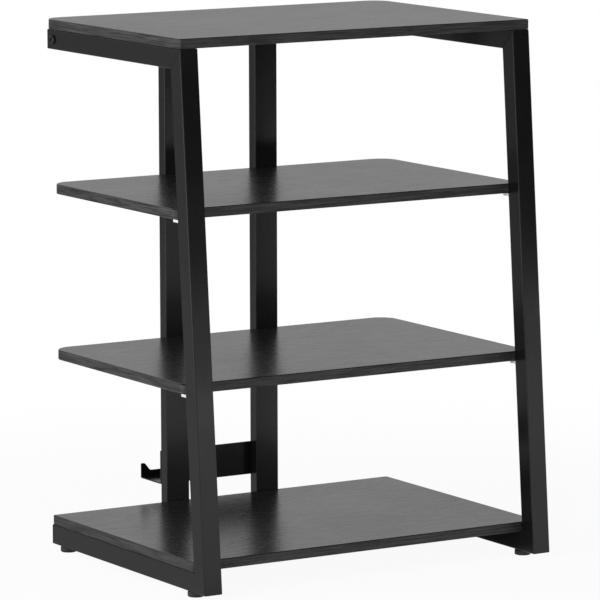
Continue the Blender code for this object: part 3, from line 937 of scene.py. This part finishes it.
# Bolts and screws, in shares of their head's radius, their head's height or their shank's radius
CROWN_RADIUS = 0.42
SKIRT_HEIGHT = 0.3
DOME_STEPS = 6
RIM_RADIUS = 0.95
RIM_HEIGHT = 0.08
POINT_RADIUS = 0.7
POINT_LENGTH = 0.3
HEXAGON_RADIUS = 0.4
HEXAGON_DEPTH = 1.1
CROSS_REACH = 0.5
CROSS_WIDTH = 0.1
CROSS_DEPTH = 0.5
HEAD_EDGE = 0.02


def make_fastener(kind, shank):
    """Bolt or screw on the origin, head up, with a domed or countersunk head and a driver recess."""
    radius, height, stem, recess = FASTENERS[kind]
    steps = settings().hardware.steps
    point = [(stem, -shank + stem * POINT_LENGTH), (stem * POINT_RADIUS, -shank)]
    if kind in COUNTERSUNK:
        head_top = 0.0
        profile = [(radius * RIM_RADIUS, 0), (radius, -height * RIM_HEIGHT), (stem, -height)]
    else:
        head_top = height
        profile = []
        for step in range(DOME_STEPS + 1):
            angle = math.pi / 2 * step / DOME_STEPS
            out = CROWN_RADIUS + (1 - CROWN_RADIUS) * math.sin(angle)
            up = SKIRT_HEIGHT + (1 - SKIRT_HEIGHT) * math.cos(angle)
            profile.append((radius * out, height * up))
        profile += [(radius, GAP), (stem, GAP)]
    piece = turned(kind, profile + point, steps)
    middle = Vector((0, 0, head_top))
    if recess == "hexagon":
        leave_all()
        bpy.ops.mesh.primitive_cylinder_add(
            vertices=6, radius=radius * HEXAGON_RADIUS, depth=height * HEXAGON_DEPTH, location=middle
        )
        cut_out(piece, settle("hexagon_cutter"))
    else:
        arm = Vector((radius * CROSS_REACH, radius * CROSS_WIDTH, height * CROSS_DEPTH))
        for reach in (arm, Vector((arm.y, arm.x, arm.z))):
            cut_out(piece, start_box("cross_cutter", middle - reach, middle + reach))
    ease_edges(piece, radius * HEAD_EDGE, angle=50)
    return piece


def seat_fastener(node):
    """Seat, shank direction and shank length of a fastener, from its CAD node's box."""
    low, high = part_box(node)
    middle = (low + high) / 2
    if node.endswith("_cross_bolt"):
        sign = math.copysign(1, middle.x)
        seat = Vector((sign * HALF_WIDTH, middle.y, middle.z))
        return seat, -sign * X, high.x - low.x - FASTENERS["cross_bolt"].height
    if node.endswith("_leg_screw"):
        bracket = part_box(node.replace("_leg_screw", ""))
        hardware = settings().hardware
        z = bracket[1].z - hardware.leg_screw_drop
        seat = Vector((middle.x, leg_rear(z) + GAP + hardware.bracket_sheet / math.cos(LEAN), z))
        return seat, -LEG_ACROSS, (high.y - low.y) / math.cos(LEAN)
    if node.endswith("_bolt"):
        height = FASTENERS["tray_bolt" if "tray" in node else "post_bolt"].height
        return Vector((middle.x, high.y - height, middle.z)), -Y, high.y - low.y - height
    height = 0.0 if "panel" in node else FASTENERS["shelf_screw"].height
    return Vector((middle.x, middle.y, low.z + height)), Z, high.z - low.z - height


class AVSTAND_OT_fasteners(bpy.types.Operator):
    """Turn each kind of bolt and screw once and put a copy of it in every place"""

    bl_idname = "av_stand.fasteners"
    bl_label = "Bolts and screws"

    def execute(self, context):
        places = {
            "cross_bolt": [f"{side}_cross_bolt" for side in SIDES],
            "post_bolt": [
                f"{side}_{level}_post_bolt" for side in SIDES for level in ("lower", "upper", "bottom")
            ],
            "post_head_bolt": [f"{side}_post_head_bolt" for side in SIDES],
            "tray_bolt": [f"{side}_tray_bolt" for side in SIDES],
            "panel_screw": [
                f"{side}_{panel}_panel_screw_{end}"
                for side in SIDES for panel in ("top", "bottom") for end in ENDS
            ],
            "shelf_screw": [bracket + "_shelf_screw" for bracket in BRACKETS],
            "leg_screw": [bracket + "_leg_screw" for bracket in BRACKETS],
        }
        for kind, nodes in places.items():
            shank = seat_fastener(nodes[0])[2]
            master = make_fastener(kind.replace("_head", ""), shank)
            for node in nodes:
                seat, direction, _shank = seat_fastener(node)
                aim = direction.to_track_quat("-Z", "Y").to_matrix().to_4x4()
                piece = place_copy(master, node + "_plated", Matrix.Translation(seat) @ aim)
                finish_piece(piece, (black_steel(),), node, smooth=40)
            bpy.data.objects.remove(master)
        return {"FINISHED"}


# Feet: turns of thread, and one turn's crest and root in shares of the stem's radius and the pitch
THREADS = 12
THREAD_PROFILE = ((1.0, 0.3), (1.0, 0.5), (0.88, 0.9))
STEM_END = 0.8
# Insets of the hollow under a pad, at its rim and at its depth, in roundings of the pad's edge
HOLLOW_RIM = 2.5
HOLLOW_DEEP = 3


class AVSTAND_OT_feet(bpy.types.Operator):
    """Turn the levelling feet and the threaded inserts over them"""

    bl_idname = "av_stand.feet"
    bl_label = "Feet and inserts"

    def execute(self, context):
        low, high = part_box("left_front_foot")
        insert_low, insert_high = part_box("left_front_foot_insert")
        seat = insert_low.z - FRAME_LOW
        foot = self.turn_foot(FRAME_LOW - low.z, high.z - FRAME_LOW, seat)
        insert = self.turn_insert(seat, insert_high.z - FRAME_LOW, (insert_high.x - insert_low.x) / 2)
        for node in FEET:
            low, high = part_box(node)
            place = Matrix.Translation(((low.x + high.x) / 2, (low.y + high.y) / 2, FRAME_LOW))
            piece = place_copy(foot, node + "_moulded", place)
            finish_piece(piece, (plastic(),), node, body=node)
            ring = place_copy(insert, node + "_insert_plated", place)
            finish_piece(ring, (zinc(),), node + "_insert")
        bpy.data.objects.remove(foot)
        bpy.data.objects.remove(insert)
        return {"FINISHED"}

    def turn_foot(self, pad_high, stem_top, seat):
        """Threaded stem on a pad with rounded rims and a hollow underside."""
        hardware = settings().hardware
        stem, pad, edge = hardware.stem_radius, hardware.pad_radius, hardware.pad_edge
        pad_top = seat - GAP
        profile = [(stem * STEM_END, stem_top)]
        pitch = (stem_top - pad_top) / THREADS
        for thread in range(THREADS):
            z = stem_top - thread * pitch
            profile += [(stem * out, z - pitch * down) for out, down in THREAD_PROFILE]
        profile += [(stem, pad_top)]
        profile += quarter((pad - edge, pad_top - edge), edge, 90, 0)
        profile += quarter((pad - edge, -pad_high + edge), edge, 0, -90)
        profile += [
            (pad - HOLLOW_RIM * edge, -pad_high),
            (pad - HOLLOW_DEEP * edge, -pad_high + hardware.pad_hollow),
        ]
        return turned("foot", profile, hardware.steps)

    def turn_insert(self, low, high, flange):
        """Ring that the stem runs in, on a flange of a given radius."""
        hardware = settings().hardware
        bore = hardware.stem_radius + GAP
        collar = bore + hardware.insert_wall
        ease = hardware.insert_edge
        profile = [
            (bore, high), (collar - ease, high), (collar, high - ease), (collar, -GAP),
            (flange - ease, -GAP), (flange, -GAP - ease), (flange, low + ease), (flange - ease, low),
            (bore, low),
        ]
        return turned("insert", profile, hardware.steps, closed=True)


# Stage: place, target and size of each light
KEY_BOX = ((-2.7, -0.9, 1.1), (0, 0, 0.4), (2.0, 2.0))
BOUNCE_CARD = ((1.716, -3.886, 0.17), (1.63, -3.742, -0.816), (2.6, 2.03))
SIDE_CARD = ((-2.7, 0.55, 0.5), (0, 0, 0.5), (1.6, 1.0))
# Camera fitted to the photograph, with its turn in degrees
CAMERA_PLACE = (-3.66021, -6.04759, 1.43657)
CAMERA_TURN = (81.5775, 0.16495, -31.392)
CAMERA_REACH = 100
# Floor: two directions on it, and the distances over which its levels change
FORWARD = (0.515, -0.858, 0)
LEFTWARD = (-0.86, -0.51, 0)
SHADOW_REACH = (0.6, 1.6)
SIDE_TO_FRONT = (-0.2, 0.8)
POOL_RISE = (0.42, 0.75)
POOL_FADE = (1.5, 3.5)
# Fades of the floor to the front and to the back: start, end and share that is left
FAR_FADES = ((1.0, 5.2, 0.15), (-1.5, -5.0, 0.6))
# Shade under the bottom panel: its depth, and its start and end from the panel's edge
UNDER_SHADE = 0.95
UNDER_START = -0.08
UNDER_END = 0.03
# Room: the backdrops' direction, and the spans of a direction's parts over which the levels change
BACKDROP_AXIS = (0.52, 0.854, 0)
BACKDROP_SPREAD = (0.55, 0.95)
BACKDROP_RISE = (0.0, 0.25)
BACKDROP_FOOT = 0.32
LEFT_WALL_SPREAD = (-0.6, -0.2)
RING_RISE = (0.1, 0.3)
CEILING = (0.45, 0.8)


def ray_kinds(tree):
    """Masks of the camera's rays and of those that a surface mirrors or lets through."""
    rays = tree.nodes.new("ShaderNodeLightPath").outputs
    mirrored = math_node(tree, "MAXIMUM", rays["Is Glossy Ray"], rays["Is Transmission Ray"])
    return rays["Is Camera Ray"], mirrored


class AVSTAND_OT_stage(bpy.types.Operator):
    """Set up the pale floor, the soft light and the camera at the photograph's angle"""

    bl_idname = "av_stand.stage"
    bl_label = "Stage"

    def execute(self, context):
        stage = settings().stage
        leave_all()
        bpy.ops.mesh.primitive_plane_add(size=stage.floor_size)
        floor = settle("floor")
        floor.data.materials.append(self.floor_finish())
        self.light_world()
        key = self.add_soft_box("key_soft_box", *KEY_BOX, stage.key_power)
        key.visible_glossy = False
        self.add_soft_box("bounce_card", *BOUNCE_CARD, stage.card_power)
        self.add_soft_box("side_card", *SIDE_CARD, stage.side_power)
        turn = [math.radians(angle) for angle in CAMERA_TURN]
        bpy.ops.object.camera_add(location=CAMERA_PLACE, rotation=turn)
        camera = bpy.context.object
        camera.name = "photograph_camera"
        camera.data.lens = stage.lens
        camera.data.clip_end = CAMERA_REACH
        context.scene.camera = camera
        context.scene.view_settings.view_transform = "Standard"
        return {"FINISHED"}

    def add_soft_box(self, name, place, target, size, energy):
        """Rectangular light aimed at a point, which the camera doesn't see."""
        aim = (Vector(target) - Vector(place)).to_track_quat("-Z", "Y")
        bpy.ops.object.light_add(type="AREA", location=place, rotation=aim.to_euler())
        light = bpy.context.object
        light.name = name
        light.data.shape = "RECTANGLE"
        light.data.size, light.data.size_y = size
        light.data.energy = energy
        light.visible_camera = False
        return light

    def floor_finish(self):
        """Pale floor with a faint shadow near the stand, white further out, and graded in reflections."""
        stage = settings().stage
        finish, tree, shader, coords = new_finish("Pale floor")
        seen, mirrored = ray_kinds(tree)
        grain = add_node(tree, "TexNoise", Vector=coords, Scale=3.0, Detail=3.0)
        shade = tint(tree, grain.outputs[0], stage.floor_color, 0.98, 1.02)
        tree.links.new(shade, shader.inputs["Base Color"])
        shader.inputs["Roughness"].default_value = 0.9
        shader.inputs["Specular IOR Level"].default_value = 0.0
        reach = vector_node(tree, "LENGTH", coords)
        plain = soft_ramp(tree, reach, *SHADOW_REACH, 1 - stage.shadow, 1.0)
        plain = math_node(tree, "MULTIPLY", plain, seen)
        forward = vector_node(tree, "DOT_PRODUCT", coords, FORWARD)
        lit = soft_ramp(tree, forward, *SIDE_TO_FRONT, stage.side_floor, stage.front_floor)
        lit = math_node(tree, "MULTIPLY", lit, self.clear_of_stand(tree, coords))
        for start, end, share in FAR_FADES:
            lit = math_node(tree, "MULTIPLY", lit, ramp(tree, forward, start, end, 1.0, share))
        lit = math_node(tree, "ADD", lit, self.left_pool(tree, coords))
        strength = between(tree, mirrored, 1.0, lit)
        white = add_node(tree, "Emission", Color=(1, 1, 1, 1), Strength=strength)
        share = math_node(tree, "MAXIMUM", plain, mirrored)
        mixed = add_node(tree, "MixShader")
        for socket, source in zip(mixed.inputs, (share, shader.outputs[0], white.outputs[0])):
            tree.links.new(source, socket)
        tree.links.new(mixed.outputs[0], tree.nodes["Material Output"].inputs["Surface"])
        return finish

    def left_pool(self, tree, coords):
        """Extra light on the floor left in front of the stand, in reflections."""
        sideways = vector_node(tree, "DOT_PRODUCT", coords, LEFTWARD)
        rise = soft_ramp(tree, sideways, *POOL_RISE, 0.0, settings().stage.left_floor)
        return math_node(tree, "MULTIPLY", rise, ramp(tree, sideways, *POOL_FADE, 1.0, 0.0))

    def clear_of_stand(self, tree, coords):
        """1 on the open floor, falling to a deep shade under the bottom panel."""
        low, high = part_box("bottom_panel")
        middle = (low + high) / 2
        half = (high - low) / 2
        offset = vector_node(tree, "SUBTRACT", coords, (middle.x, middle.y, 0))
        parts = add_node(tree, "SeparateXYZ", Vector=offset).outputs
        shades = []
        for axis, edge in (("X", half.x), ("Y", half.y)):
            distance = math_node(tree, "ABSOLUTE", parts[axis])
            shades.append(
                soft_ramp(tree, distance, edge + UNDER_START, edge + UNDER_END, UNDER_SHADE, 0.0)
            )
        return math_node(tree, "SUBTRACT", 1.0, math_node(tree, "MULTIPLY", *shades))

    def light_world(self):
        """White to the eye, an even sky for light, and a room with bright backdrops in reflections."""
        stage = settings().stage
        world = bpy.data.worlds.new("white_studio")
        bpy.context.scene.world = world
        world.use_nodes = True
        tree = world.node_tree
        seen, mirrored = ray_kinds(tree)
        direction = tree.nodes.new("ShaderNodeTexCoord").outputs["Generated"]
        parts = add_node(tree, "SeparateXYZ", Vector=direction).outputs
        along = math_node(tree, "ABSOLUTE", vector_node(tree, "DOT_PRODUCT", direction, BACKDROP_AXIS))
        backdrops = soft_ramp(tree, along, *BACKDROP_SPREAD, 0.0, stage.horizon)
        rising = ramp(tree, parts["Z"], *BACKDROP_RISE, BACKDROP_FOOT, 1.0)
        left = soft_ramp(tree, parts["X"], *LEFT_WALL_SPREAD, stage.left_wall, 0.0)
        ring = soft_ramp(tree, parts["Z"], *RING_RISE, 0.0, stage.ring)
        below_ceiling = soft_ramp(tree, parts["Z"], *CEILING, 1.0, 0.0)
        walls = math_node(tree, "MULTIPLY", rising, backdrops)
        walls = math_node(tree, "MAXIMUM", walls, left)
        walls = math_node(tree, "MAXIMUM", walls, ring)
        walls = math_node(tree, "MULTIPLY", walls, below_ceiling)
        room = math_node(tree, "ADD", walls, stage.dim)
        level = between(tree, mirrored, stage.sky, room)
        background = tree.nodes["Background"]
        background.inputs["Color"].default_value = (1, 1, 1, 1)
        tree.links.new(math_node(tree, "MAXIMUM", level, seen), background.inputs["Strength"])


OPERATORS = (
    AVSTAND_OT_boards,
    AVSTAND_OT_side_frames,
    AVSTAND_OT_posts,
    AVSTAND_OT_end_caps,
    AVSTAND_OT_cable_tray,
    AVSTAND_OT_brackets,
    AVSTAND_OT_fasteners,
    AVSTAND_OT_feet,
    AVSTAND_OT_stage,
)


class AVSTAND_PT_sidebar(bpy.types.Panel):
    """Settings and building steps of the AV stand"""

    bl_idname = "AVSTAND_PT_sidebar"
    bl_label = "AV Stand"
    bl_space_type = "VIEW_3D"
    bl_region_type = "UI"
    bl_category = "AV Stand"

    def draw(self, context):
        stand = context.scene.av_stand
        for group in (stand.boards, stand.frame, stand.tray, stand.hardware, stand.stage):
            box = self.layout.box()
            box.label(text=group.bl_rna.description)
            for name in group.__annotations__:
                box.prop(group, name)
        for operator in OPERATORS:
            self.layout.operator(operator.bl_idname)


CLASSES = (
    BoardSettings,
    FrameSettings,
    TraySettings,
    HardwareSettings,
    StageSettings,
    StandSettings,
    *OPERATORS,
    AVSTAND_PT_sidebar,
)


def register():
    for item in CLASSES:
        bpy.utils.register_class(item)
    bpy.types.Scene.av_stand = PointerProperty(type=StandSettings)


def unregister():
    del bpy.types.Scene.av_stand
    for item in reversed(CLASSES):
        bpy.utils.unregister_class(item)


def main():
    register()
    bpy.ops.av_stand.boards()
    bpy.ops.av_stand.side_frames()
    bpy.ops.av_stand.posts()
    bpy.ops.av_stand.end_caps()
    bpy.ops.av_stand.cable_tray()
    bpy.ops.av_stand.brackets()
    bpy.ops.av_stand.fasteners()
    bpy.ops.av_stand.feet()
    bpy.ops.av_stand.stage()


if __name__ == "__main__":
    main()
